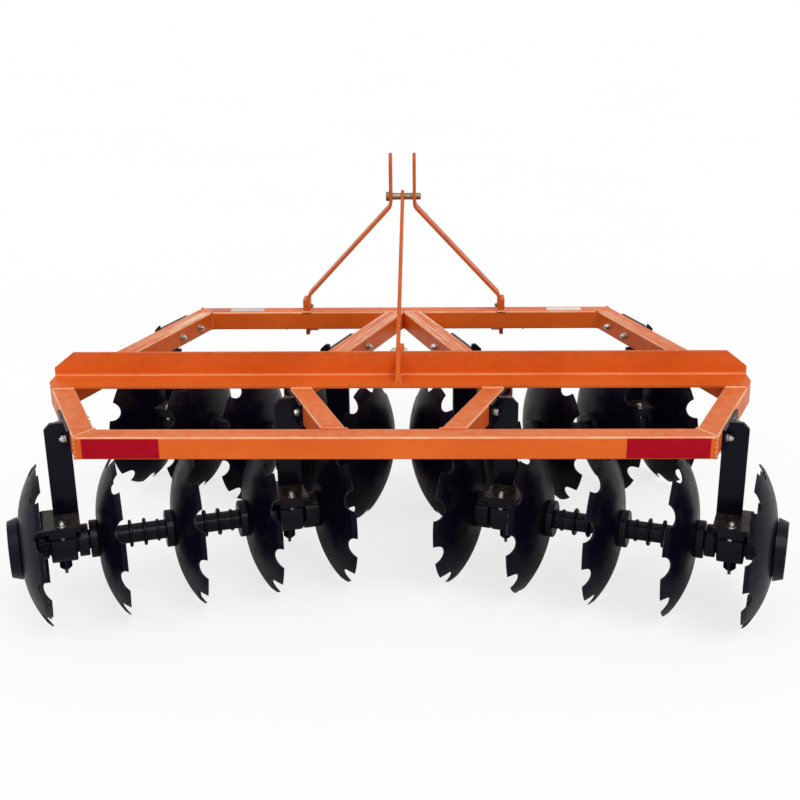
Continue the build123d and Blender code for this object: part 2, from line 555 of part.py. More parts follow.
for name, hub_x, hub_y, angle, hollow, outer_bearing, inner_offset in GANGS:
    inner_bearing = GANG_LENGTH - inner_offset
    outward = (cos(radians(angle)), sin(radians(angle)))
    forward = (-outward[1], outward[0])
    outer_hub = moved((hub_x, WIDEST_Y + hub_y), outward, GANG_LENGTH)
    # The gang's own axis runs inward from the outermost hub
    upright = Plane((outer_hub[0], outer_hub[1], AXIS_HEIGHT), x_dir=(0, 0, 1),
                    z_dir=(-outward[0], -outward[1], 0))
    disc_places = [index * DISC_PITCH for index in range(DISCS_PER_GANG)]
    outer_face = -DISC_THICKNESS if hollow > 0 else 0.0
    inner_face = GANG_LENGTH + (0.0 if hollow > 0 else DISC_THICKNESS)

    for side, axle_turn, second_turn in [row[1:] for row in RESTING if row[0] == name]:
        lean = sin(radians(axle_turn))
        gang = Plane(upright.origin, x_dir=(lean * forward[0], lean * forward[1], cos(radians(axle_turn))),
                     z_dir=upright.z_dir)
        profile_plane = Plane(gang.origin, x_dir=gang.x_dir, z_dir=-gang.y_dir)
        with BuildPart() as discs:
            for index, place in enumerate(disc_places):
                with Locations(gang.offset(place)):
                    facing = 0 if hollow > 0 else 180
                    add(disc.part, rotation=(facing, 0, second_turn * (index % 2)))
        save_side(discs, f"{name}_discs", side)

        # Spools fill the space between the hollow face of one disc and the back of the next
        with BuildPart() as spools:
            for index in range(DISCS_PER_GANG - 1):
                low = disc_places[index] + (0.0 if hollow > 0 else DISC_THICKNESS)
                high = disc_places[index + 1] - (DISC_THICKNESS if hollow > 0 else 0.0)
                flange_low = hollow < 0
                bearings = [b for b in (outer_bearing, inner_bearing) if low < b < high]
                if bearings:
                    steps = bearing_steps(low, high, bearings[0], flange_low)
                else:
                    steps = spool_steps(low, high, flange_low)
                with BuildSketch(profile_plane):
                    with BuildLine():
                        Polyline(*ring_profile(steps), close=True)
                    make_face()
                revolve(axis=Axis(gang.origin, gang.z_dir))
            with BuildSketch(gang):
                Rectangle(AXLE_SIZE + AXLE_FIT, AXLE_SIZE + AXLE_FIT)
            extrude(amount=GANG_LENGTH, mode=Mode.SUBTRACT)
        save_side(spools, f"{name}_spools", side)

        # End pieces: bell washers where the outer end is the back of a disc, plain ones elsewhere
        with BuildPart() as washers:
            if hollow > 0:
                with BuildSketch(Plane(gang.offset(outer_face).origin, x_dir=gang.x_dir,
                                       z_dir=-gang.y_dir)):
                    with BuildLine():
                        Polyline((0, 0), (BELL_DIAMETER / 2, 0), (BELL_FACE_DIAMETER / 2, -BELL_LENGTH),
                                 (BELL_MOUTH_DIAMETER / 2, -BELL_LENGTH),
                                 (BELL_RECESS_DIAMETER / 2, BELL_RECESS_DEPTH - BELL_LENGTH),
                                 (0, BELL_RECESS_DEPTH - BELL_LENGTH), close=True)
                    make_face()
                revolve(axis=Axis(gang.origin, gang.z_dir))
                outer_thickness = BELL_LENGTH - BELL_RECESS_DEPTH
            else:
                with BuildSketch(gang.offset(outer_face)):
                    Circle(WASHER_DIAMETER / 2)
                extrude(amount=-OUTER_WASHER_THICKNESS)
                outer_thickness = OUTER_WASHER_THICKNESS
            with BuildSketch(gang.offset(inner_face)):
                Circle(WASHER_DIAMETER / 2)
            extrude(amount=INNER_WASHER_THICKNESS)
            with BuildSketch(gang.offset(-2 * BELL_LENGTH)):
                Rectangle(AXLE_SIZE + AXLE_FIT, AXLE_SIZE + AXLE_FIT)
            extrude(amount=GANG_LENGTH + 4 * BELL_LENGTH, mode=Mode.SUBTRACT)
        save_side(washers, f"{name}_end_washers", side)

        # Axle: square bar with its nut and its head
        axle_low = outer_face - outer_thickness
        axle_high = inner_face + INNER_WASHER_THICKNESS
        with BuildPart() as axle:
            with BuildSketch(gang.offset(axle_low - NUT_HEIGHT / 2)):
                Rectangle(AXLE_SIZE, AXLE_SIZE)
            extrude(amount=axle_high - axle_low + NUT_HEIGHT / 2 + HEAD_HEIGHT / 2)
            with BuildSketch(gang.offset(axle_low)):
                RegularPolygon(NUT_ACROSS_CORNERS / 2, 6)
            extrude(amount=-NUT_HEIGHT)
            with BuildSketch(gang.offset(axle_high)):
                RegularPolygon(NUT_ACROSS_CORNERS / 2, 6)
            extrude(amount=HEAD_HEIGHT)
        save_side(axle, f"{name}_axle", side)

    # Bearing housings, and the hangers that carry them from the rails
    foot_top = AXIS_HEIGHT + HOUSING_DIAMETER / 2 + HOUSING_FOOT_RISE
    base_top = foot_top + BASE_PLATE_THICKNESS
    if name == "front":
        rails = ((front_line, front_way, front_outward), (vertex, inner_front_way, inner_front_outward))
    else:
        rails = ((rear_line, rear_way, rear_outward), (vertex, inner_rear_way, inner_rear_outward))
    arm_shift, arm_lean, arm_ahead, plate_ahead = ARMS[name]
    arm_low = arm_shift - ARM_WIDTH / 2
    arm_high = arm_shift + ARM_WIDTH / 2
    shoulder = TUBE_BOTTOM - RAIL_GAP
    housings = []
    hangers = []
    for bearing, (rail_point, way, face_outward) in zip((outer_bearing, inner_bearing), rails):
        centre = moved(outer_hub, outward, -bearing)
        with BuildPart() as housing:
            with BuildSketch(upright.offset(bearing - HOUSING_LENGTH / 2)):
                Circle(HOUSING_DIAMETER / 2)
            extrude(amount=HOUSING_LENGTH)
            fillet(housing.edges().filter_by(GeomType.CIRCLE), HOUSING_EDGE_RADIUS)
            with BuildSketch(Plane((centre[0], centre[1], AXIS_HEIGHT - HOUSING_DIAMETER / 2
                                    - HOUSING_BOSS_DROP))):
                Circle(HOUSING_BOSS_DIAMETER / 2)
            extrude(amount=HOUSING_BOSS_DROP + HOUSING_BOSS_DIAMETER / 2)
            chamfer(housing.edges().filter_by(GeomType.CIRCLE).group_by(Axis.Z)[0], HOUSING_BOSS_CHAMFER)
            with BuildSketch(upright.offset(bearing - HOUSING_LENGTH / 2)):
                with Locations((foot_top - AXIS_HEIGHT - HOUSING_FOOT_THICKNESS / 2, 0)):
                    Rectangle(HOUSING_FOOT_THICKNESS, BASE_PLATE_LENGTH)
            extrude(amount=HOUSING_LENGTH)
            with BuildSketch(upright.offset(bearing - HOUSING_LENGTH / 2)):
                Circle(JOURNAL_DIAMETER / 2 + JOURNAL_CLEARANCE)
            extrude(amount=HOUSING_LENGTH, mode=Mode.SUBTRACT)
        housings.append(housing.part)

        plate_point = moved(rail_point, face_outward, TUBE / 2 + HANGER_PLATE_THICKNESS)
        plate_middle = crossing(plate_point, way, moved(centre, forward, plate_ahead), outward)
        arm_point = moved(centre, forward, arm_ahead)
        arm_meets = crossing(plate_point, way, arm_point, outward)
        plate_x = (arm_meets[0] - arm_point[0]) / outward[0]
        rail_face = Plane((plate_middle[0], plate_middle[1], shoulder), x_dir=(way[0], way[1], 0),
                          z_dir=(0, 0, 1))
        with BuildPart() as hanger:
            with BuildSketch(Plane((arm_point[0], arm_point[1], 0), x_dir=(outward[0], outward[1], 0),
                                   z_dir=(-forward[0], -forward[1], 0))):
                with BuildLine():
                    Polyline((arm_low, base_top), (arm_high, base_top),
                             (arm_high + arm_lean, ARM_TOP - ARM_CHAMFER),
                             (arm_high + arm_lean - ARM_CHAMFER, ARM_TOP), (arm_low, ARM_TOP), close=True)
                make_face()
                if plate_x < arm_low:
                    with Locations((plate_x - ARM_THICKNESS, shoulder)):
                        Rectangle(arm_shift - plate_x, ARM_TOP - shoulder, align=(Align.MIN, Align.MIN))
            extrude(amount=ARM_THICKNESS / 2, both=True)
            with BuildSketch(rail_face):
                Rectangle(2 * HANGER_PLATE_LENGTH, 4 * ARM_WIDTH, align=(Align.CENTER, Align.MAX))
            extrude(amount=ARM_TOP, mode=Mode.SUBTRACT)
            with BuildSketch(rail_face):
                Rectangle(HANGER_PLATE_LENGTH, HANGER_PLATE_THICKNESS, align=(Align.CENTER, Align.MAX))
            extrude(amount=HANGER_PLATE_HEIGHT)
            with BuildSketch(Plane((centre[0], centre[1], foot_top), x_dir=(outward[0], outward[1], 0),
                                   z_dir=(0, 0, 1))):
                Rectangle(BASE_PLATE_WIDTH, BASE_PLATE_LENGTH)
            extrude(amount=BASE_PLATE_THICKNESS)
        hangers.append(hanger.part)
    with BuildPart() as bearing_housings:
        add(housings)
    save_pair(bearing_housings, f"{name}_bearings")
    with BuildPart() as gang_hangers:
        add(hangers)
    save_pair(gang_hangers, f"{name}_hangers")
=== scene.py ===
# %% [markdown]
# # A tandem disc harrow, dressed
#
# The solids of this machine come from its CAD model. This notebook loads them as a fixed frame,
# gives every one of them a finish, adds the small things that a fitter would add last, such as
# bolts, welds and reflectors, and sets a plain studio round it.

from math import cos, pi, radians, sin

import bpy
from mathutils import Matrix, Vector


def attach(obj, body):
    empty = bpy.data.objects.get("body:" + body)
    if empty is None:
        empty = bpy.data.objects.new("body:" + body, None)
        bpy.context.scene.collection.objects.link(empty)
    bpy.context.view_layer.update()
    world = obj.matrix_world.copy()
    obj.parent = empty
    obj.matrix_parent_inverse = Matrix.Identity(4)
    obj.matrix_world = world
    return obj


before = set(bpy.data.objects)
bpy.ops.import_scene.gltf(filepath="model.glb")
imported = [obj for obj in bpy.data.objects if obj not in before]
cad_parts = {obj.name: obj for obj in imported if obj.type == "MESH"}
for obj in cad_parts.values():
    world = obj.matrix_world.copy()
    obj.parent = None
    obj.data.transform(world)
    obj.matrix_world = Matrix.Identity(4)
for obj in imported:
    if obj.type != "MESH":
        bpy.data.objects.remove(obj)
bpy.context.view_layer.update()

# %% [markdown]
# ## Sizes that the small pieces need
#
# Bolts have to sit on the plates that they hold, so the places of the rails and bearings are worked
# out here from the same few sizes as the solids. Everything is in metres. A gang is one row of five
# discs on one axle, and its row in the table gives where it starts and how it is turned.

# %% Frame sizes and places
TUBE = 0.060
FRAME_TOP = 0.520
FRONT_CORNER = Vector((0.681, 0.644956))
MIDDLE_CORNER = Vector((0.965, -0.144044))
REAR_CORNER = Vector((0.792, -0.541044))
INNER_VERTEX = Vector((0.287, -0.110044))
INNER_FRONT_START = Vector((0.031956, 0.584956))
INNER_REAR_END = Vector((0.149, -0.481044))
AXIS_HEIGHT = 0.210
GANG_LENGTH = 0.780
PLATE_THICKNESS = 0.008

# Columns: gang, innermost hub (x, y), angle of the axle in degrees, distances from the outermost hub
# to the outer and the inner bearing, and how far forward of the axle the middle of a rail plate is
GANGS = (
    ("rear", Vector((0.2166, -0.283644)), -18.2, 0.104, 0.697, 0.068),
    ("front", Vector((0.0584, 0.117456)), 20.6, 0.062, 0.647, 0.095),
)


def outward_of(way):
    """Direction that points out of the frame, square to a rail that runs rearwards."""
    return Vector((-way.y, way.x))


def meeting(point_a, way_a, point_b, way_b):
    """Point where two lines in the plan meet."""
    turn = way_a.x * way_b.y - way_a.y * way_b.x
    gap = point_b - point_a
    return point_a + way_a * ((gap.x * way_b.y - gap.y * way_b.x) / turn)


front_way = (MIDDLE_CORNER - FRONT_CORNER).normalized()
rear_way = (REAR_CORNER - MIDDLE_CORNER).normalized()
inner_front_way = (INNER_VERTEX - INNER_FRONT_START).normalized()
inner_rear_way = (INNER_REAR_END - INNER_VERTEX).normalized()
# For every rail, a point on its outer face and the way it runs
RAILS = {
    ("front", "outer"): (FRONT_CORNER, front_way),
    ("rear", "outer"): (MIDDLE_CORNER, rear_way),
    ("front", "inner"): (INNER_VERTEX + outward_of(inner_front_way) * TUBE / 2, inner_front_way),
    ("rear", "inner"): (INNER_VERTEX + outward_of(inner_rear_way) * TUBE / 2, inner_rear_way),
}
print("rails with a hanger, on one side:", len(RAILS))

# %% [markdown]
# ## Where the hangers are
#
# A hanger ties a gang's bearing to the rail above it. Its plate lies on the outside of the rail, where
# the rail's line meets the line of the plates in front of the axle. Only the right side is worked
# out, because the left one is its mirror image.

# %% Places of the hangers
hangers = []
for gang, hub, angle, outer, inner, plate_ahead in GANGS:
    axle_way = Vector((cos(radians(angle)), sin(radians(angle))))
    forward = Vector((-axle_way.y, axle_way.x))
    for reach, distance in (("outer", outer), ("inner", inner)):
        bearing = hub + axle_way * (GANG_LENGTH - distance)
        face, way = RAILS[gang, reach]
        plate = meeting(face + outward_of(way) * PLATE_THICKNESS, way,
                        bearing + forward * plate_ahead, axle_way)
        hangers.append({"gang": gang, "reach": reach, "bearing": bearing, "forward": forward,
                        "plate": plate, "way": way, "out": outward_of(way)})
print("hangers on one side:", len(hangers))

# %% [markdown]
# ## A paint shop
#
# Every finish here is a small tree of nodes. The helper below starts a tree with one glossy shader,
# and its methods each add a node and wire it up in a line, so that a recipe stays short enough to
# read. All patterns follow Object coordinates: the pieces sit at the origin, so one metre on the
# machine is one unit of pattern, and the pattern turns with its piece. Gloss that is the same all
# over is set on the shader's own socket, and everything that varies comes from a pattern.

# %% Helpers for node trees
EDGE_SAMPLES = 6
EDGE_MATCH = 0.72


def rgb(red, green, blue):
    """A solid colour, as a socket wants it."""
    return (red, green, blue, 1.0)


class Finish:
    """A material with one Principled shader and short ways to add nodes to it."""

    def __init__(self, name):
        self.material = bpy.data.materials.new(name)
        self.material.use_nodes = True
        self.tree = self.material.node_tree
        self.shader = self.tree.nodes["Principled BSDF"]
        self.coordinates = self.add("ShaderNodeTexCoord")
        self.place = self.coordinates.outputs["Object"]

    def feed(self, socket, value):
        """Wire another node's output into a socket, or set the socket to a plain value."""
        if isinstance(value, bpy.types.NodeSocket):
            self.tree.links.new(value, socket)
        else:
            socket.default_value = value

    def add(self, kind, inputs=None, **settings):
        """Add a node, set its options and feed its sockets."""
        node = self.tree.nodes.new(kind)
        for key, value in settings.items():
            setattr(node, key, value)
        for key, value in (inputs or {}).items():
            self.feed(node.inputs[key], value)
        return node

    def set(self, socket, value):
        """Feed one of the shader's own sockets."""
        self.feed(self.shader.inputs[socket], value)

    def noise(self, scale, detail=3.0, roughness=0.5, place=None):
        """Cloudy pattern around one half, finer with a higher scale."""
        inputs = {"Vector": place or self.place, "Scale": scale, "Detail": detail, "Roughness": roughness}
        return self.add("ShaderNodeTexNoise", inputs).outputs["Fac"]

    def ramp(self, value, low=0.3, high=0.7, start=0.0, end=1.0):
        """Stretch a value, so that low gives start and high gives end."""
        inputs = {"Value": value, "From Min": low, "From Max": high, "To Min": start, "To Max": end}
        return self.add("ShaderNodeMapRange", inputs).outputs["Result"]

    def math(self, operation, first, second=0.0):
        """One sum on two values."""
        return self.add("ShaderNodeMath", {0: first, 1: second}, operation=operation).outputs["Value"]

    def product(self, first, *others):
        """Values multiplied, such as masks that have to hold together."""
        result = first
        for other in others:
            result = self.math("MULTIPLY", result, other)
        return result

    def blend(self, amount, first, second):
        """Mix two colours: an amount of 0 gives the first, 1 the second."""
        return self.add("ShaderNodeMix", {0: amount, 6: first, 7: second}, data_type="RGBA").outputs[2]

    def lean(self):
        """How far the surface looks up: 1 on a level top, 0 on a wall."""
        return self.add("ShaderNodeSeparateXYZ", {0: self.coordinates.outputs["Normal"]}).outputs["Z"]

    def rounded(self, radius):
        """The surface normal as if every edge had been rounded."""
        return self.add("ShaderNodeBevel", {"Radius": radius}, samples=EDGE_SAMPLES).outputs["Normal"]

    def edges(self, radius):
        """Mask of the sharp edges: 0 on flats, rising to 1 along edges."""
        flat = self.add("ShaderNodeNewGeometry").outputs["Normal"]
        match = self.add("ShaderNodeVectorMath", {0: self.rounded(radius), 1: flat}, operation="DOT_PRODUCT")
        return self.ramp(match.outputs["Value"], low=1.0, high=EDGE_MATCH)

    def relief(self, height, strength, distance, radius=None):
        """Bump on the shader's normal, with the sharp edges rounded if a radius is given."""
        inputs = {"Height": height, "Strength": strength, "Distance": distance}
        if radius:
            inputs["Normal"] = self.rounded(radius)
        self.set("Normal", self.add("ShaderNodeBump", inputs).outputs["Normal"])


# %% [markdown]
# ## Orange frame paint: the coat
#
# The frame is sprayed with one thick coat of orange. A flat colour would look like plastic, so a
# slow drift of shade stands for thick and thin paint, and finer patches darken it here and there.
# The mast is painted darker and duller than the frame, as painted shade, and its height tells
# the material where it starts.

# %% Orange coat
MAST_STARTS = 0.56
MAST_FULL = 0.62
THIN_ORANGE = rgb(0.69, 0.108, 0.011)
THICK_ORANGE = rgb(0.79, 0.144, 0.018)
DARK_ORANGE = rgb(0.60, 0.084, 0.009)
SHADED_MAST_ORANGE = rgb(0.42, 0.095, 0.042)
orange = Finish("orange_paint")
where = orange.add("ShaderNodeSeparateXYZ", {0: orange.place}).outputs
height = where["Z"]
drift = orange.noise(scale=3.5, detail=4.0)
patches = orange.noise(scale=38.0, detail=5.0, roughness=0.6)
coat = orange.blend(orange.ramp(drift, low=0.35, high=0.68), THIN_ORANGE, THICK_ORANGE)
coat = orange.blend(orange.ramp(patches, low=0.45, high=0.75, end=0.35), coat, DARK_ORANGE)
# painted shade: above the top of the frame the mast is darkened in patches
mast_shade = orange.product(orange.ramp(height, low=MAST_STARTS, high=MAST_FULL),
                      orange.ramp(patches, low=0.35, high=0.65, start=0.12, end=0.50))
coat = orange.blend(mast_shade, coat, SHADED_MAST_ORANGE)
print("nodes in the orange coat:", len(orange.tree.nodes))

# %% [markdown]
# ## Orange frame paint: painted light on the tops, and pale streaks
#
# Level faces are made paler: this is painted light, as if lit from above. The upward part of the
# normal finds these tops, and a limit on the height leaves out the slanting mast. On the front rails
# pale streaks run along the rail, partly chalky paint and partly painted highlight lines, weaker on
# the right side. Both rails lean out by the same slope on their way back, so a pattern stretched along
# that slope on both sides gives the streaks, and it ends before the front bar.

# %% Painted light on the tops, and streaks
TOP_LIGHT_ORANGE = rgb(0.93, 0.47, 0.22)
CHALK_AND_HIGHLIGHT = rgb(0.95, 0.66, 0.48)
TOP_LIMIT = 0.526
TOP_FULL = 0.522
RAIL_SLOPE = (MIDDLE_CORNER.x - FRONT_CORNER.x) / (FRONT_CORNER.y - MIDDLE_CORNER.y)
STREAKS_ACROSS = 75.0
STREAKS_ALONG = 3.0
BAR_STARTS = 0.583
BAR_ENDS = 0.586
lean = orange.lean()
tops = orange.ramp(lean, low=0.90, high=0.99)
below_mast = orange.ramp(height, low=TOP_LIMIT, high=TOP_FULL)
# painted highlight: level tops are paled in patches, as if lit from above
pale = orange.product(tops, orange.ramp(patches, low=0.40, high=0.70, start=0.06, end=0.30), below_mast)
coat = orange.blend(pale, coat, TOP_LIGHT_ORANGE)
across = orange.math("ADD", orange.math("ABSOLUTE", where["X"]), orange.product(where["Y"], RAIL_SLOPE))
streak_place = orange.add("ShaderNodeCombineXYZ", {"X": orange.product(across, STREAKS_ACROSS),
                                                   "Y": orange.product(where["Y"], STREAKS_ALONG),
                                                   "Z": 0.0})
streaks = orange.noise(scale=1.0, detail=4.0, roughness=0.6, place=streak_place.outputs["Vector"])
front_half = orange.ramp(where["Y"], low=0.05, high=0.35)
behind_bar = orange.ramp(where["Y"], low=BAR_ENDS, high=BAR_STARTS)
weaker_right = orange.ramp(where["X"], low=0.30, high=0.55, start=1.0, end=0.35)
# pale streaks along the front rails: partly chalky paint, partly painted highlight lines
chalk_and_highlight = orange.product(orange.ramp(streaks, low=0.47, high=0.60, end=0.85), front_half, behind_bar,
                        weaker_right, tops, below_mast)
coat = orange.blend(chalk_and_highlight, coat, CHALK_AND_HIGHLIGHT)
print("slope of the front rails:", round(RAIL_SLOPE, 3))

# %% [markdown]
# ## Orange frame paint: corners, edges and gloss
#
# The rounded upper corners of the tubes are painted paler, a painted highlight along them. These
# corners are real faces that lean between wall and top, so the same upward part finds them. The
# Bevel node finds the sharp edges without touching the mesh, and they get a paler orange that is partly
# worn paint and partly painted highlight. A very fine bump gives the dimples called orange peel.

# %% Corners, edges and gloss of the orange paint
CORNER_HIGHLIGHT_ORANGE = rgb(0.96, 0.58, 0.34)
EDGE_WEAR_AND_HIGHLIGHT_ORANGE = rgb(0.90, 0.42, 0.20)
CORNER_LIMIT = 0.534
CORNER_FULL = 0.524
# painted highlight: the upper rounded corners of the tubes are made paler
corner_highlight = orange.product(orange.ramp(lean, low=0.15, high=0.50), orange.ramp(lean, low=0.985, high=0.90),
                        orange.ramp(height, low=CORNER_LIMIT, high=CORNER_FULL),
                        orange.ramp(orange.noise(scale=16.0, detail=4.0), low=0.34, high=0.64,
                                    start=0.45, end=0.85))
coat = orange.blend(corner_highlight, coat, CORNER_HIGHLIGHT_ORANGE)
worn = orange.ramp(orange.noise(scale=60.0, detail=4.0), low=0.35, high=0.62)
# sharp edges made paler: partly worn paint, partly painted highlight
edge = orange.product(orange.edges(radius=0.0035), worn, 0.50)
orange.set("Base Color", orange.blend(edge, coat, EDGE_WEAR_AND_HIGHLIGHT_ORANGE))
orange.set("Roughness", orange.ramp(orange.noise(scale=24.0, detail=5.0), start=0.34, end=0.50))
orange.set("Specular IOR Level", 0.12)
orange.set("Coat Weight", 0.03)
orange.set("Coat Roughness", 0.18)
peel = orange.noise(scale=420.0, detail=2.0)
orange.relief(peel, strength=0.10, distance=0.0008, radius=0.0025)
print("nodes in the orange paint:", len(orange.tree.nodes))

# %% [markdown]
# ## Black paint for the running gear
#
# Discs, hangers and castings are all black, yet they read as three surfaces. The hangers are sawn
# plate with a satin coat. The castings carry the grain of the sand that they were poured in. Both
# come from one recipe, each with a grain of its own. Dust settles on the level faces, and along the
# sharp edges the paint is worn down to the metal.

# %% Black plate and black castings
DEEP_BLACK = rgb(0.0012, 0.0010, 0.0064)
SOFT_BLACK = rgb(0.0034, 0.0029, 0.0088)
THIN_DUST = rgb(0.018, 0.015, 0.014)
SETTLED_DUST = rgb(0.105, 0.080, 0.062)
WORN_STEEL = rgb(0.15, 0.140, 0.140)


def black_finish(name, grain, depth, rough, settled):
    """Black paint over grain of a given scale and depth, with dust settled on level faces."""
    paint = Finish(name)
    colour = paint.blend(paint.ramp(paint.noise(scale=5.0)), DEEP_BLACK, SOFT_BLACK)
    clouds = paint.noise(scale=14.0, detail=6.0, roughness=0.62)
    colour = paint.blend(paint.ramp(clouds, low=0.50, high=0.80, end=0.22), colour, THIN_DUST)
    specks = paint.noise(scale=40.0, detail=5.0, roughness=0.65)
    level = paint.product(paint.ramp(paint.lean(), low=0.85, high=0.99),
                          paint.ramp(specks, low=0.34, high=0.66), settled)
    colour = paint.blend(level, colour, SETTLED_DUST)
    chips = paint.ramp(paint.noise(scale=90.0, detail=4.0), low=0.48, high=0.66)
    worn = paint.product(paint.edges(radius=0.002), chips, 0.60)
    paint.set("Base Color", paint.blend(worn, colour, WORN_STEEL))
    sheen = paint.noise(scale=30.0, detail=5.0)
    paint.set("Roughness", paint.ramp(sheen, start=rough - 0.12, end=rough + 0.10))
    paint.set("Specular IOR Level", 0.07)
    paint.set("Coat Weight", 0.12)
    paint.set("Coat Roughness", 0.12)
    sand = paint.noise(scale=grain, detail=4.0, roughness=0.6)
    paint.relief(sand, strength=0.45, distance=depth, radius=0.0015)
    return paint.material


black_plate = black_finish("black_plate_paint", grain=160.0, depth=0.0005, rough=0.38, settled=0.55)
black_casting = black_finish("black_casting_paint", grain=230.0, depth=0.0016, rough=0.40, settled=0.10)
print("black finishes:", black_plate.name, black_casting.name)

# %% [markdown]
# ## Black discs
#
# The discs are rolled sheet, pressed hot and dipped, so fine rings run round their centre. The rings
# need the distance from the axle, and each gang's axle lies differently, which is why each gang has
# its own disc finish. That distance comes from two measures of a point: how far it is from the hub,
# and how far along the axle. Brown patches are partly soil scuffs and partly a painted sheen, and the
# bright edges are partly wear and partly painted glints.

# %% Disc steel, one finish for each gang
DISC_DARK = rgb(0.0012, 0.0009, 0.0062)
DISC_LIGHT = rgb(0.0040, 0.0033, 0.0088)
SCUFF_AND_SHEEN_BROWN = rgb(0.036, 0.028, 0.017)
WORN_EDGE_GLINT = rgb(0.19, 0.182, 0.180)
RINGS_ACROSS = 26.0
RINGS_ALONG = 0.6


def ring_place(paint, hub, axle_way):
    """Place in a pattern that runs in rings round an axle."""
    centre = paint.add("ShaderNodeVectorMath", {0: paint.place, 1: (hub.x, hub.y, AXIS_HEIGHT)},
                       operation="SUBTRACT").outputs["Vector"]
    along = paint.add("ShaderNodeVectorMath", {0: centre, 1: (axle_way.x, axle_way.y, 0.0)},
                      operation="DOT_PRODUCT").outputs["Value"]
    reach = paint.add("ShaderNodeVectorMath", {0: centre}, operation="LENGTH").outputs["Value"]
    square = paint.math("SUBTRACT", paint.product(reach, reach), paint.product(along, along))
    rings = paint.add("ShaderNodeCombineXYZ", {"X": paint.product(paint.math("SQRT", square), RINGS_ACROSS),
                                               "Y": paint.product(along, RINGS_ALONG), "Z": 0.0})
    return rings.outputs["Vector"]


def disc_finish(name, hub, axle_way):
    """Black coat on pressed discs, with fine rings round the gang's axle."""
    paint = Finish(name)
    rings = paint.noise(scale=9.0, detail=6.0, roughness=0.7, place=ring_place(paint, hub, axle_way))
    # brown patches: partly soil scuffs, partly a painted sheen
    scuffs_and_sheen = paint.noise(scale=17.0, detail=6.0, roughness=0.65)
    colour = paint.blend(paint.ramp(rings), DISC_DARK, DISC_LIGHT)
    colour = paint.blend(paint.ramp(scuffs_and_sheen, low=0.52, high=0.76, end=0.34), colour, SCUFF_AND_SHEEN_BROWN)
    chips = paint.ramp(paint.noise(scale=70.0, detail=4.0), low=0.42, high=0.62)
    # bright edges: partly wear, partly painted glints
    worn = paint.product(paint.edges(radius=0.0025), chips, 0.8)
    paint.set("Base Color", paint.blend(worn, colour, WORN_EDGE_GLINT))
    paint.set("Roughness", paint.ramp(paint.math("ADD", rings, scuffs_and_sheen), low=0.75, high=1.25,
                                      start=0.24, end=0.46))
    paint.set("Specular IOR Level", 0.05)
    paint.set("Coat Weight", 0.04)
    paint.set("Coat Roughness", 0.14)
    grain = paint.math("ADD", rings, paint.noise(scale=260.0))
    paint.relief(grain, strength=0.25, distance=0.0006, radius=0.001)
    return paint.material


disc_steel = {}
for gang, hub, angle, *_ in GANGS:
    for side, sign in (("left", -1), ("right", 1)):
        way = Vector((sign * cos(radians(angle)), sin(radians(angle))))
        disc_steel[gang, side] = disc_finish(f"disc_coat_{gang}_{side}", Vector((sign * hub.x, hub.y)), way)
print("disc finishes:", len(disc_steel))

# %% [markdown]
# ## Bright and bare metal
#
# Bolts and hitch pins are zinc plated, and the brace pin's plating has gone brown. Zinc is a true
# metal, so Metallic is 1 and the colour sits in the reflection. Its bloom comes from a cloudy
# roughness. The square axles and their nuts are bare steel gone dark with oil.

# %% Zinc and oiled steel
ZINC_DARK = rgb(0.36, 0.345, 0.30)
ZINC_LIGHT = rgb(0.58, 0.565, 0.52)
BROWN_DARK = rgb(0.16, 0.115, 0.07)
BROWN_LIGHT = rgb(0.40, 0.31, 0.20)
OILED_DARK = rgb(0.045, 0.043, 0.042)
OILED_LIGHT = rgb(0.10, 0.095, 0.09)


def metal_finish(name, dark, light, rough, grain):
    """Bare metal with a cloudy colour and roughness."""
    metal = Finish(name)
    clouds = metal.noise(scale=55.0, detail=5.0, roughness=0.6)
    metal.set("Base Color", metal.blend(metal.ramp(clouds), dark, light))
    metal.set("Metallic", 1.0)
    bloom = metal.noise(scale=120.0, detail=4.0)
    metal.set("Roughness", metal.ramp(bloom, start=rough - 0.08, end=rough + 0.10))
    metal.relief(metal.noise(scale=grain), strength=0.20, distance=0.0004, radius=0.0008)
    return metal.material


zinc = metal_finish("zinc_plate", ZINC_DARK, ZINC_LIGHT, rough=0.34, grain=380.0)
pin_plate = metal_finish("brown_pin_plate", BROWN_DARK, BROWN_LIGHT, rough=0.34, grain=380.0)
oiled_steel = metal_finish("oiled_axle_steel", OILED_DARK, OILED_LIGHT, rough=0.42, grain=300.0)
print("metals:", zinc.name, pin_plate.name, oiled_steel.name)

# %% [markdown]
# ## Finishes onto the solids
#
# Every solid arrives as a named object, and its name says what it is: discs, spools, bearings,
# hangers, axles, pins, or else a piece of the frame. So the name picks the finish, and no mesh is
# touched for it.

# %% Put a finish on every CAD node
for name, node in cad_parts.items():
    side = "left" if name.endswith("_left") else "right"
    gang = name.split("_")[0]
    if "discs" in name:
        finish = disc_steel[gang, side]
    elif "spools" in name or "bearings" in name or "end_washers" in name:
        finish = black_casting
    elif "hangers" in name:
        finish = black_plate
    elif "axle" in name:
        finish = oiled_steel
    elif "pin" in name:
        finish = pin_plate if name == "brace_pin" else zinc
    else:
        finish = orange.material
    node.data.materials.clear()
    node.data.materials.append(finish)
print("nodes finished:", len(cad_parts))

# %% [markdown]
# ## The bench: a few ways of working
#
# Small parts repeat dozens of times here. Each is modelled once at the origin with its axis up, and
# then set out: every copy gets its own mesh, moved to its place, and the copies are joined. The
# finished object stays at the origin, so the pattern of its finish doesn't slide.

# %% Helpers for shaping one piece
END_FACE = 0.9
SHARP_ANGLE = 35


def clear_selection():
    """Deselect everything, because an operator acts on all that is selected."""
    bpy.ops.object.select_all(action="DESELECT")


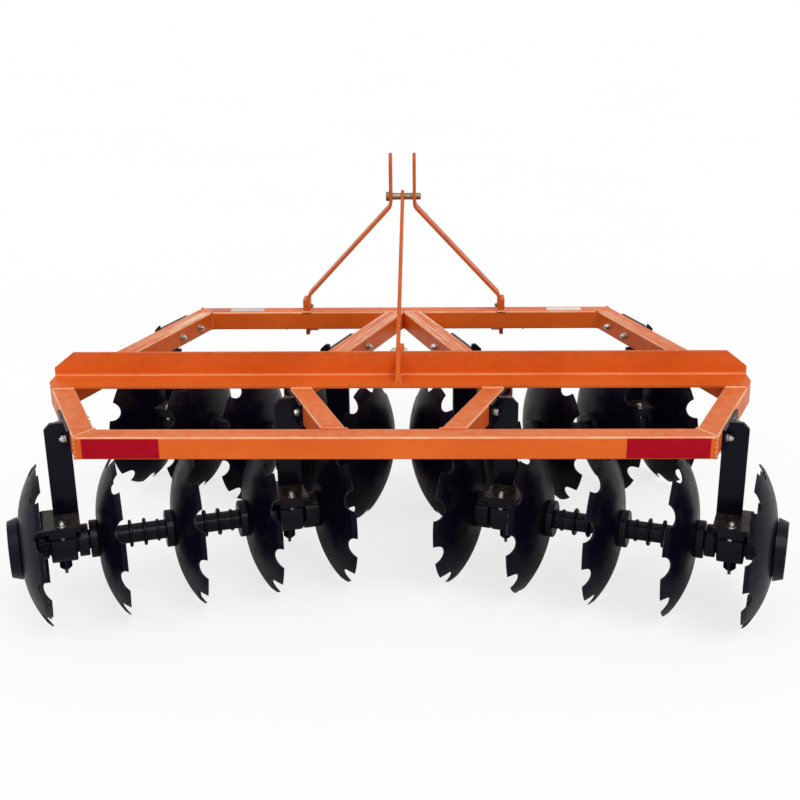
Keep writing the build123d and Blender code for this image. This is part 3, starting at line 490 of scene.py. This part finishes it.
def only(piece):
    """Select one object and make it the active one."""
    clear_selection()
    piece.select_set(True)
    bpy.context.view_layer.objects.active = piece


def pick_all(piece):
    """Go to edit mode with the whole mesh selected."""
    only(piece)
    bpy.ops.object.mode_set(mode="EDIT")
    bpy.ops.mesh.select_all(action="SELECT")


def pick_end(piece, direction=1):
    """Go to edit mode with only the end faces selected: the top ones for 1, the lower ones for -1."""
    only(piece)
    bpy.ops.object.mode_set(mode="EDIT")
    bpy.ops.mesh.select_mode(type="FACE")
    bpy.ops.mesh.select_all(action="DESELECT")
    bpy.ops.object.mode_set(mode="OBJECT")
    for face in piece.data.polygons:
        face.select = bool(face.normal.z * direction > END_FACE)
    bpy.ops.object.mode_set(mode="EDIT")


def raise_face(height, scale):
    """Extrude the selected face straight up and then scale it in the plan."""
    bpy.ops.mesh.extrude_region_move(TRANSFORM_OT_translate={"value": (0, 0, height)})
    bpy.ops.transform.resize(value=(scale, scale, 1))


def leave():
    """Go back from edit mode to object mode."""
    bpy.ops.object.mode_set(mode="OBJECT")


def soften(piece, width, segments=2):
    """Round the sharp edges with a bevel that is applied at once."""
    only(piece)
    bevel = piece.modifiers.new("edges", "BEVEL")
    bevel.width = width
    bevel.segments = segments
    bevel.angle_limit = radians(SHARP_ANGLE)
    bpy.ops.object.modifier_apply(modifier=bevel.name)


def turned_blank(sides, radius, base, height):
    """A cylinder that stands on a given height, ready to be shaped."""
    clear_selection()
    bpy.ops.mesh.primitive_cylinder_add(vertices=sides, radius=radius, depth=height,
                                        location=(0, 0, base + height / 2))
    bpy.ops.object.transform_apply(location=True)
    return bpy.context.object


# %% Helpers for copies and for handing a piece over
def joined(pieces, name):
    """Join objects into the first of them."""
    clear_selection()
    for piece in pieces:
        piece.select_set(True)
    bpy.context.view_layer.objects.active = pieces[0]
    bpy.ops.object.join()
    pieces[0].name = name
    return pieces[0]


def set_out(master, name, places):
    """Copies of a modelled piece at every place, joined into one object."""
    copies = []
    for place in places:
        mesh = master.data.copy()
        mesh.transform(place)
        copies.append(bpy.data.objects.new(name, mesh))
        bpy.context.collection.objects.link(copies[-1])
    return joined(copies, name)


def hand_over(piece, body, finish, angle=SHARP_ANGLE):
    """Give a piece its finish and smooth shading, and let it ride on a body."""
    piece.data.materials.clear()
    piece.data.materials.append(finish)
    only(piece)
    bpy.ops.object.shade_smooth_by_angle(angle=radians(angle))
    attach(piece, body)
    print(piece.name, "faces:", len(piece.data.polygons))


def set_up(point, axis, spin=0.0):
    """Place matrix that puts a piece's +Z along an axis at a point, spun about it."""
    return (Matrix.Translation(point) @ Vector(axis).to_track_quat("Z", "Y").to_matrix().to_4x4()
            @ Matrix.Rotation(spin, 4, "Z"))


def both_sides(point, axis):
    """A place on the right and its mirror image on the left, as (point, axis) pairs."""
    return ((Vector(point), Vector(axis)),
            (Vector((-point[0], point[1], point[2])), Vector((-axis[0], axis[1], axis[2]))))


# %% [markdown]
# ## Nut, washer and bolt end
#
# A plated hexagon nut is not a plain six-sided block: its corners are turned off at the top, a flat
# washer sits under it, and a turn or two of thread stands out of it. The thread is a stack of
# small extrusions that step in and out. At this size that reads the same as a real helix.

# %% Washer and hexagon
WASHER_RADIUS = 0.0115
WASHER_HEIGHT = 0.0024
HEX_RADIUS = 0.0100
NUT_HEIGHT = 0.0100
HEAD_HEIGHT = 0.0075
CORNER_HEIGHT = 0.0016


def flat_washer():
    """Round washer with a shallow turned face."""
    blank = turned_blank(28, WASHER_RADIUS, 0, WASHER_HEIGHT)
    pick_end(blank)
    bpy.ops.mesh.inset(thickness=0.0010, depth=0.0003)
    leave()
    soften(blank, width=0.0004, segments=1)
    return blank


def hexagon(height):
    """Six-sided body with its top corners turned off."""
    blank = turned_blank(6, HEX_RADIUS, WASHER_HEIGHT, height - CORNER_HEIGHT)
    pick_end(blank)
    raise_face(CORNER_HEIGHT, scale=0.86)
    bpy.ops.mesh.inset(thickness=0.0018, depth=-0.0003)
    leave()
    soften(blank, width=0.0005)
    return blank


head = joined([hexagon(HEAD_HEIGHT), flat_washer()], "head_pattern")
print("head faces:", len(head.data.polygons))

# %% Nut with the end of its bolt
THREAD_RADIUS = 0.0055
THREAD_STEP = 0.0007
THREAD_ROOT = 0.88
thread = turned_blank(20, THREAD_RADIUS, WASHER_HEIGHT, NUT_HEIGHT)
pick_end(thread)
for turn in range(2):
    raise_face(THREAD_STEP, THREAD_ROOT)
    raise_face(THREAD_STEP, 1 / THREAD_ROOT)
raise_face(0.0010, scale=0.78)
leave()
nut = joined([hexagon(NUT_HEIGHT), flat_washer(), thread], "nut_pattern")
print("nut faces:", len(nut.data.polygons))

# %% [markdown]
# ## Where the bolts go
#
# Each hanger is clamped to its rail by two bolts, 112 mm apart and half way up the tube. The nuts
# are on the inside of the frame, except on the outer rear plates. Each bearing housing hangs under
# its base plate on two bolts, with the nuts on top. One more bolt holds the brace in its lug, and a
# small one holds each foot of the mast to its hitch plate. Apart from these small ones, each nut and
# head is spun a little further than the one before, because no fitter lines them up.

# %% Bolts of the hangers and the housings
RAIL_BOLT_REACH = 0.056
HOUSING_BOLT_REACH = 0.050
FOOT_TOP = 0.265
FOOT_THICKNESS = 0.014
BASE_TOP = 0.277
tube_middle = FRAME_TOP - TUBE / 2
nut_spots = []
head_spots = []
for hanger in hangers:
    for step in (-RAIL_BOLT_REACH, RAIL_BOLT_REACH):
        spot = hanger["plate"] + hanger["way"] * step
        outside = Vector((spot.x, spot.y, tube_middle))
        out = Vector((hanger["out"].x, hanger["out"].y, 0.0))
        inside = outside - out * (TUBE + PLATE_THICKNESS)
        nut_outside = (hanger["gang"], hanger["reach"]) == ("rear", "outer")
        nut_spots += both_sides(outside, out) if nut_outside else both_sides(inside, -out)
        head_spots += both_sides(inside, -out) if nut_outside else both_sides(outside, out)
    for step in (-HOUSING_BOLT_REACH, HOUSING_BOLT_REACH):
        spot = hanger["bearing"] + hanger["forward"] * step
        nut_spots += both_sides((spot.x, spot.y, BASE_TOP), (0, 0, 1))
        head_spots += both_sides((spot.x, spot.y, FOOT_TOP - FOOT_THICKNESS), (0, 0, -1))
print("nuts on hangers and housings:", len(nut_spots))

# %% Bolts of the brace and the mast, and all of them set out
BRACE_BOLT_Y = MIDDLE_CORNER.y + 0.091
BRACE_BOLT_Z = 0.586
BRACE_LEFT_X = -0.005
LUG_RIGHT_X = 0.017
FRONT_BAR_Y = FRONT_CORNER.y - TUBE / 2
MAST_FOOT_INNER = 0.3105
FOOT_BOLT_Z = 0.534
FOOT_BOLT_SIZE = 0.62
NUT_SPIN = 0.37
HEAD_SPIN = 0.53
nut_spots.append((Vector((BRACE_LEFT_X, BRACE_BOLT_Y, BRACE_BOLT_Z)), Vector((-1, 0, 0))))
head_spots.append((Vector((LUG_RIGHT_X, BRACE_BOLT_Y, BRACE_BOLT_Z)), Vector((1, 0, 0))))
foot_spots = both_sides((MAST_FOOT_INNER, FRONT_BAR_Y, FOOT_BOLT_Z), (-1, 0, 0))
nut_places = [set_up(spot, axis, NUT_SPIN * index) for index, (spot, axis) in enumerate(nut_spots)]
nut_places += [set_up(spot, axis) @ Matrix.Scale(FOOT_BOLT_SIZE, 4) for spot, axis in foot_spots]
head_places = [set_up(spot, axis, HEAD_SPIN * index) for index, (spot, axis) in enumerate(head_spots)]
all_nuts = set_out(nut, "nuts_and_bolt_ends", nut_places)
all_heads = set_out(head, "bolt_heads", head_places)
hand_over(all_nuts, "frame", zinc)
hand_over(all_heads, "frame", zinc)
bpy.data.objects.remove(nut)
bpy.data.objects.remove(head)

# %% [markdown]
# ## Grease fittings
#
# Under the boss of each housing is a small nipple, dark with grease: a hexagon to screw it in by, a
# narrow neck and a ball that the grease gun snaps onto. It is one profile, so it is made by raising
# the end face of a thin blank again and again.

# %% Grease fittings under the housings
BOSS_BOTTOM = AXIS_HEIGHT - 0.074
FITTING_RADIUS = 0.0062
FITTING_HEX_HEIGHT = 0.0050
# Columns: how far the end face is raised, and how much wider it gets
FITTING_STEPS = ((0.0008, 0.62), (0.0030, 0.90), (0.0014, 1.45), (0.0022, 1.0), (0.0016, 0.62))
nipple = turned_blank(6, FITTING_RADIUS, 0, FITTING_HEX_HEIGHT)
pick_end(nipple)
for height, scale in FITTING_STEPS:
    raise_face(height, scale)
leave()
soften(nipple, width=0.0003, segments=1)
nipple_spots = []
for hanger in hangers:
    nipple_spots += both_sides((hanger["bearing"].x, hanger["bearing"].y, BOSS_BOTTOM), (0, 0, -1))
fittings = set_out(nipple, "grease_fittings", [set_up(spot, axis) for spot, axis in nipple_spots])
hand_over(fittings, "frame", oiled_steel, angle=45)
bpy.data.objects.remove(nipple)

# %% [markdown]
# ## Linch pins
#
# A linch pin keeps the tractor's link ball on the lower hitch pin: a straight peg through the hole,
# with a head, and a spring ring that snaps round the shaft. The peg is a blank with its ends
# raised, and the ring is a plain torus through the head of the peg.

# %% Linch pins in the lower hitch pins
HITCH_PIN_ROOT = 0.3415
HITCH_PIN_LENGTH = 0.075
LINCH_FROM_TIP = 0.014
LINCH_X = HITCH_PIN_ROOT + HITCH_PIN_LENGTH - LINCH_FROM_TIP
LINCH_Y = FRONT_CORNER.y + 0.034
LINCH_Z = FRAME_TOP - 0.066
PEG_RADIUS = 0.0047
PEG_BASE = -0.020
PEG_LENGTH = 0.036
RING_RADIUS = 0.0205
RING_WIRE_RADIUS = 0.0020
peg = turned_blank(20, PEG_RADIUS, PEG_BASE, PEG_LENGTH)
pick_end(peg)
for height, scale in ((0.0, 1.75), (0.0060, 1.0), (0.0016, 0.80)):
    raise_face(height, scale)
leave()
pick_end(peg, direction=-1)
raise_face(-0.0030, scale=0.55)
leave()
soften(peg, width=0.0006)
clear_selection()
bpy.ops.mesh.primitive_torus_add(major_segments=40, minor_segments=10, major_radius=RING_RADIUS,
                                 minor_radius=RING_WIRE_RADIUS, rotation=(0, pi / 2, 0))
ring = bpy.context.object
bpy.ops.object.transform_apply(location=True, rotation=True)
linch = joined([peg, ring], "linch_pattern")
linch_places = [Matrix.Translation((sign * LINCH_X, LINCH_Y, LINCH_Z)) for sign in (-1, 1)]
linch_pins = set_out(linch, "linch_pins", linch_places)
hand_over(linch_pins, "frame", zinc)
bpy.data.objects.remove(linch)

# %% [markdown]
# ## Weld beads: one drop and one seam
#
# A weld is a row of overlapping puddles, each frozen before the next one flowed over it. So the bead
# here is one flattened drop, set out along every seam a few millimetres apart. Sine waves change its
# size from drop to drop and let the row wander a little, as a hand does.

# %% One drop of weld, and a row of them
DROP_RADIUS = 0.0043
DROP_SHAPE = (0.90, 1.15, 0.62)
PITCH = 0.0040
WANDER = 0.0004
clear_selection()
bpy.ops.mesh.primitive_uv_sphere_add(segments=10, ring_count=5, radius=DROP_RADIUS)
drop = bpy.context.object
pick_all(drop)
bpy.ops.transform.resize(value=DROP_SHAPE)
leave()


def seam(start, end, up):
    """Places for drops from start to end, lying flat against a direction."""
    start, end, up = Vector(start), Vector(end), Vector(up).normalized()
    along = (end - start).normalized()
    across = up.cross(along)
    turn = Matrix((along, across, up)).transposed().to_4x4()
    count = max(2, int((end - start).length / PITCH))
    spots = []
    for step in range(count + 1):
        size = 1.0 + 0.10 * sin(2.3 * step) + 0.06 * sin(5.1 * step + 1.0)
        wander = across * WANDER * sin(1.7 * step)
        spots.append(Matrix.Translation(start.lerp(end, step / count) + wander) @ turn
                     @ Matrix.Scale(size, 4))
    return spots


print("faces in a drop:", len(drop.data.polygons))

# %% [markdown]
# ## Weld beads: the seams of the tubes
#
# A seam is a start, an end and the direction that it faces. The outer tubes are mitred at the front
# and rear corners and welded on top and down both edges. The inner rails are cut off against the
# bars and welded on top and at the sides. Again only the right side is worked out.

# %% Seams of the tubes
TUBE_BOTTOM = FRAME_TOP - TUBE
MITRE_START = 0.06
EDGE_SINK = 0.0020
INNER_STOP = 0.003
OUTER_STOP = 0.004
MIDLINE_GAP = 0.003
TOP_SINK = 0.0005
UP = (0, 0, 1)


def on_top(point):
    """Point on the top of the frame above a place in the plan."""
    return (point.x, point.y, FRAME_TOP)


def down_tube(x, y, stop, facing):
    """Upright seam over the height of a tube, which stops short of both of its corners."""
    return ((x, y, FRAME_TOP - stop), (x, y, TUBE_BOTTOM + stop), facing)


front_inner = meeting(FRONT_CORNER - outward_of(front_way) * TUBE, front_way,
                      FRONT_CORNER - Vector((0, TUBE)), Vector((1.0, 0.0)))
rear_inner = meeting(REAR_CORNER - outward_of(rear_way) * TUBE, rear_way,
                     REAR_CORNER + Vector((0, TUBE)), Vector((1.0, 0.0)))
right_seams = []
for outer, inner in ((FRONT_CORNER, front_inner), (REAR_CORNER, rear_inner)):
    right_seams.append((on_top(outer.lerp(inner, MITRE_START)), on_top(inner), UP))
    sink = (outer - inner).normalized() * EDGE_SINK
    edge = outer - sink
    right_seams.append(down_tube(edge.x, edge.y, OUTER_STOP, (sink.x, sink.y, 0)))
    right_seams.append(down_tube(inner.x, inner.y, INNER_STOP, (-sink.x, -sink.y, 0)))
for start, way, wall_y, facing in ((INNER_FRONT_START, inner_front_way, FRONT_CORNER.y - TUBE, -1),
                                   (INNER_REAR_END, inner_rear_way, REAR_CORNER.y + TUBE, 1)):
    half = TUBE / 2 / abs(way.y)
    for x in (start.x - half, start.x + half):
        if x > MIDLINE_GAP:
            right_seams.append(down_tube(x, wall_y, OUTER_STOP, (0, facing, 0)))
    right_seams.append(((max(start.x - half, 0.0), wall_y, FRAME_TOP - TOP_SINK),
                        (start.x + half, wall_y, FRAME_TOP - TOP_SINK), (0, facing, 1)))
print("seams of the tubes on one side:", len(right_seams))

# %% [markdown]
# ## Weld beads: angle, mast and hitch plates
#
# The cross angle lies on top of the rails and is welded along its rear edge. The foot of the mast
# and the hitch plate beside it stand on the front bar: one bead runs along the inner face of the
# foot, one along the outer face of the plate, one behind both, and one down the front of the bar.
# All these seams are on both sides of the machine, so they are mirrored with the ones of the tubes.

# %% Seams of the angle, the mast and the hitch plates
ANGLE_REAR_Y = MIDDLE_CORNER.y - 0.035
ANGLE_SEAM_HALF = 0.027
ANGLE_SEAM_Z = FRAME_TOP + 0.001
HITCH_PLATE_OUTER = 0.3325
FOOT_SEAM_HALF = 0.028
FOOT_REAR_Y = FRONT_BAR_Y - 0.030
HITCH_STOP = 0.006
outer_line = MIDDLE_CORNER - outward_of(rear_way) * TUBE / 2
for point, way in ((outer_line, rear_way), (INNER_VERTEX, inner_rear_way)):
    middle = meeting(point, way, Vector((0.0, ANGLE_REAR_Y)), Vector((1.0, 0.0)))
    right_seams.append(((middle.x - ANGLE_SEAM_HALF, ANGLE_REAR_Y, ANGLE_SEAM_Z),
                        (middle.x + ANGLE_SEAM_HALF, ANGLE_REAR_Y, ANGLE_SEAM_Z), (0, -1, 1)))
for foot_x in (MAST_FOOT_INNER, HITCH_PLATE_OUTER):
    right_seams.append(((foot_x, FRONT_BAR_Y - FOOT_SEAM_HALF, FRAME_TOP),
                        (foot_x, FRONT_BAR_Y + FOOT_SEAM_HALF, FRAME_TOP), UP))
right_seams.append(((MAST_FOOT_INNER, FOOT_REAR_Y, FRAME_TOP), (HITCH_PLATE_OUTER, FOOT_REAR_Y, FRAME_TOP),
                    (0, -0.3, 1)))
right_seams.append(down_tube(HITCH_PLATE_OUTER, FRONT_CORNER.y, HITCH_STOP, (1, 1, 0)))
seams = list(right_seams)
for ends_and_facing in right_seams:
    seams.append(tuple((-x, y, z) for x, y, z in ends_and_facing))
print("seams on both sides:", len(seams))

# %% [markdown]
# ## Weld beads: gusset and lug
#
# In the middle of the machine a gusset stiffens the cross angle, and a lug on its front takes the
# foot of the brace. Each has a bead on either face. With these, all seams are known, and the drops
# are set out. The paint covers the welds, so they take the frame's own orange.

# %% Seams in the middle, and all drops set out
ANGLE_FRONT_Y = ANGLE_REAR_Y + 0.100
ANGLE_LIFT = FRAME_TOP + 0.008
GUSSET_START_Y = ANGLE_REAR_Y + 0.013
GUSSET_END_Y = ANGLE_FRONT_Y - 0.017
GUSSET_WALL_Y = ANGLE_FRONT_Y - 0.008
GUSSET_WALL_LOW = ANGLE_LIFT + 0.010
GUSSET_WALL_HIGH = FRAME_TOP + 0.073
LUG_LOW = ANGLE_LIFT + 0.004
LUG_HIGH = 0.584
for gusset_x, facing in ((-0.004, -1), (0.008, 1)):
    seams.append(((gusset_x, GUSSET_START_Y, ANGLE_LIFT), (gusset_x, GUSSET_END_Y, ANGLE_LIFT),
                  (facing, 0, 1)))
    seams.append(((gusset_x, GUSSET_WALL_Y, GUSSET_WALL_LOW), (gusset_x, GUSSET_WALL_Y, GUSSET_WALL_HIGH),
                  (facing, -1, 0)))
for lug_x, facing in ((0.005, -1), (LUG_RIGHT_X, 1)):
    seams.append(((lug_x, ANGLE_FRONT_Y, LUG_LOW), (lug_x, ANGLE_FRONT_Y, LUG_HIGH), (facing, 1, 0)))

spots = [spot for start, end, up in seams for spot in seam(start, end, up)]
welds = set_out(drop, "weld_beads", spots)
hand_over(welds, "frame", orange.material, angle=60)
bpy.data.objects.remove(drop)
print("weld drops:", len(spots), "in", len(seams), "seams")

# %% [markdown]
# ## Red reflectors
#
# Two red reflective strips face backwards on the rear bar, so that the machine is seen on the road at
# night. Such tape is a sheet of tiny prisms under a clear film. A fine Voronoi pattern stands for the
# prisms, in the colour and as a faint relief, and broad streaks for the dirt on the film.

# %% Finish for the red reflectors
PRISM_LIGHT = rgb(0.47, 0.001, 0.014)
PRISM_DARK = rgb(0.37, 0.000, 0.010)
FADED_RED = rgb(0.50, 0.004, 0.022)
PRISM_SCALE = 260.0
reflector = Finish("red_reflector")
prisms = reflector.add("ShaderNodeTexVoronoi", {"Vector": reflector.place, "Scale": PRISM_SCALE})
cells = prisms.outputs["Distance"]
dirt = reflector.noise(scale=30.0, detail=4.0, roughness=0.6)
film = reflector.blend(reflector.ramp(cells, low=0.05, high=0.55), PRISM_LIGHT, PRISM_DARK)
film = reflector.blend(reflector.ramp(dirt, low=0.45, high=0.75, end=0.5), film, FADED_RED)
reflector.set("Base Color", film)
reflector.set("Roughness", reflector.ramp(dirt, start=0.26, end=0.40))
reflector.set("Specular IOR Level", 0.08)
reflector.relief(cells, strength=0.12, distance=0.0004)
print("nodes in the reflector:", len(reflector.tree.nodes))

# %% [markdown]
# ## Blank labels
#
# Three small vinyl labels lie on the front bar, and here they are left bare. Vinyl fades and takes
# marks, so each has two shades of its own colour in soft clouds, and a slightly uneven gloss.

# %% Finishes for the blank labels
def label_finish(name, paper, faded):
    """Blank vinyl, a little faded and marked."""
    vinyl = Finish(name)
    marks = vinyl.noise(scale=70.0, detail=5.0, roughness=0.6)
    vinyl.set("Base Color", vinyl.blend(vinyl.ramp(marks, low=0.35, high=0.72), paper, faded))
    vinyl.set("Roughness", vinyl.ramp(marks, start=0.34, end=0.48))
    vinyl.relief(vinyl.noise(scale=300.0, detail=2.0), strength=0.10, distance=0.0003)
    return vinyl.material


white_label = label_finish("white_label", rgb(0.80, 0.79, 0.76), rgb(0.66, 0.64, 0.60))
grey_label = label_finish("grey_label", rgb(0.62, 0.58, 0.55), rgb(0.47, 0.44, 0.42))
red_label = label_finish("red_label", rgb(0.52, 0.10, 0.07), rgb(0.42, 0.08, 0.06))
print("label finishes:", white_label.name, grey_label.name, red_label.name)

# %% [markdown]
# ## Thin sheets for strips and labels
#
# A strip or label is a sheet of a millimetre or less. It starts as a grid, gets its size and its
# thickness in edit mode, and a small bevel rounds its edges so that they catch the light. The strips
# are turned to stand against the rear bar, and the labels lie flat.

# %% Cut the strips and labels
STRIP_HALF_HEIGHT = 0.026
# Columns: name, left end, right end
STRIPS = (("reflector_left", -0.772, -0.579), ("reflector_right", 0.572, 0.776))
LABELS = (("label_red", -0.652, -0.581, red_label),
          ("label_grey", -0.578, -0.466, grey_label),
          ("label_white", 0.474, 0.587, white_label))
LABEL_LOW_Y = FRONT_CORNER.y - 0.048
LABEL_HIGH_Y = FRONT_CORNER.y - 0.012


def sheet_on(name, low, high, thickness, rounding):
    """Thin sheet between two opposite corners, flat if they are level and upright otherwise."""
    size = Vector(high) - Vector(low)
    middle = (Vector(high) + Vector(low)) / 2
    upright = size.z > 0
    clear_selection()
    bpy.ops.mesh.primitive_grid_add(x_subdivisions=12, y_subdivisions=4, size=1.0)
    sheet = bpy.context.object
    sheet.name = name
    pick_all(sheet)
    bpy.ops.transform.resize(value=(size.x, size.z if upright else size.y, 1.0))
    bpy.ops.mesh.extrude_region_move(TRANSFORM_OT_translate={"value": (0, 0, thickness)})
    bpy.ops.mesh.select_all(action="SELECT")
    bpy.ops.mesh.normals_make_consistent(inside=False)
    leave()
    if upright:
        sheet.data.transform(Matrix.Rotation(pi / 2, 4, "X"))
    sheet.data.transform(Matrix.Translation(middle))
    soften(sheet, rounding)
    return sheet


for name, low_x, high_x in STRIPS:
    strip = sheet_on(name, (low_x, REAR_CORNER.y, tube_middle - STRIP_HALF_HEIGHT),
                     (high_x, REAR_CORNER.y, tube_middle + STRIP_HALF_HEIGHT),
                     thickness=0.0010, rounding=0.0003)
    hand_over(strip, "frame", reflector.material)
for name, low_x, high_x, finish in LABELS:
    label = sheet_on(name, (low_x, LABEL_LOW_Y, FRAME_TOP), (high_x, LABEL_HIGH_Y, FRAME_TOP),
                     thickness=0.0005, rounding=0.0002)
    hand_over(label, "frame", finish)

# %% [markdown]
# ## A plain studio floor
#
# The floor is a wide pale plane that catches the shadow. To the camera alone it is mostly plain
# white, and the rest of what the camera sees is the lit plane with the shadow on it. The machine
# gets only the light that the real plane throws back.

# %% Floor
FLOOR_SIZE = 60.0
PLAIN_WHITE = rgb(1.0, 1.0, 1.0)
PAPER_STRENGTH = 1.045
PAPER_SHARE = 0.72
clear_selection()
bpy.ops.mesh.primitive_plane_add(size=FLOOR_SIZE)
floor = bpy.context.object
floor.name = "studio_floor"
studio = Finish("studio_floor")
clouds = studio.ramp(studio.noise(scale=0.6, detail=2.0))
studio.set("Base Color", studio.blend(clouds, rgb(0.93, 0.93, 0.93), rgb(0.95, 0.95, 0.95)))
studio.set("Roughness", 0.9)
studio.set("Specular IOR Level", 0.1)
paper = studio.add("ShaderNodeEmission", {"Color": PLAIN_WHITE, "Strength": PAPER_STRENGTH})
ray = studio.add("ShaderNodeLightPath").outputs["Is Camera Ray"]
both = studio.add("ShaderNodeMixShader", {0: studio.product(ray, PAPER_SHARE),
                                          1: studio.shader.outputs["BSDF"],
                                          2: paper.outputs["Emission"]})
studio.tree.links.new(both.outputs["Shader"], studio.tree.nodes["Material Output"].inputs["Surface"])
floor.data.materials.append(studio.material)
print("floor, metres:", FLOOR_SIZE)

# %% [markdown]
# ## Light from all round
#
# The world gives even light from every side, like a white tent. The camera and reflections see it as
# plain white, and the light that it sends on the machine is weaker, so that pale faces keep their
# colour.

# %% World
TENT_STRENGTH = 0.55
world = bpy.data.worlds.new("studio_world")
world.use_nodes = True
bpy.context.scene.world = world
nodes, wires = world.node_tree.nodes, world.node_tree.links
nodes.clear()


def background(strength):
    """White background of a given strength."""
    node = nodes.new("ShaderNodeBackground")
    node.inputs["Color"].default_value = PLAIN_WHITE
    node.inputs["Strength"].default_value = strength
    return node.outputs["Background"]


path = nodes.new("ShaderNodeLightPath")
seen = nodes.new("ShaderNodeMath")
seen.operation = "MAXIMUM"
mixer = nodes.new("ShaderNodeMixShader")
output = nodes.new("ShaderNodeOutputWorld")
for source, target in ((path.outputs["Is Camera Ray"], seen.inputs[0]),
                       (path.outputs["Is Glossy Ray"], seen.inputs[1]),
                       (seen.outputs["Value"], mixer.inputs["Fac"]),
                       (background(TENT_STRENGTH), mixer.inputs[1]),
                       (background(1.0), mixer.inputs[2]),
                       (mixer.outputs["Shader"], output.inputs["Surface"])):
    wires.new(source, target)
print("nodes in the world:", len(nodes))

# %% [markdown]
# ## Two wide suns
#
# Even light alone leaves the forms flat. One sun stands high at the right behind the camera, and a
# weaker one at the left. Both are very wide, as a big lamp behind cloth is, so that their shadows
# are soft.

# %% Lamps
SUN_WIDTH = 35.0
# Columns: name, tilt from straight down and heading in degrees, strength
SUNS = (("key_sun", 40.0, 30.0, 1.20), ("fill_sun", 50.0, -50.0, 0.40))
for name, tilt, heading, strength in SUNS:
    lamp = bpy.data.lights.new(name, "SUN")
    lamp.energy = strength
    lamp.angle = radians(SUN_WIDTH)
    sun = bpy.data.objects.new(name, lamp)
    sun.matrix_world = Matrix.Rotation(radians(heading), 4, "Z") @ Matrix.Rotation(radians(tilt), 4, "X")
    bpy.context.collection.objects.link(sun)
print("suns:", len(SUNS))

# %% [markdown]
# ## The camera
#
# The picture is square. The camera stands 3.3 m behind the middle of the machine at 1.63 m, a little
# to its right, and looks down by 20 degrees. The numbers were fitted to the straight edges of the
# frame.

# %% Camera
FOCAL_LENGTH = 55.41
SENSOR_WIDTH = 36.0
CAMERA_RIGHT = 0.104854
CAMERA_BEHIND = 3.200297
CAMERA_HEIGHT = 1.631372
CAMERA_HEADING = 1.757
CAMERA_DIP = 19.883
CAMERA_ROLL = -0.708
bpy.context.scene.view_settings.view_transform = "Standard"
lens = bpy.data.cameras.new("camera")
lens.lens = FOCAL_LENGTH
lens.sensor_width = SENSOR_WIDTH
camera = bpy.data.objects.new("camera", lens)
bpy.context.collection.objects.link(camera)
camera.matrix_world = (Matrix.Translation((CAMERA_RIGHT, MIDDLE_CORNER.y - CAMERA_BEHIND, CAMERA_HEIGHT))
                       @ Matrix.Rotation(radians(CAMERA_HEADING), 4, "Z")
                       @ Matrix.Rotation(radians(90 - CAMERA_DIP), 4, "X")
                       @ Matrix.Rotation(radians(CAMERA_ROLL), 4, "Z"))
bpy.context.scene.camera = camera
print("camera at:", [round(v, 3) for v in camera.matrix_world.translation])
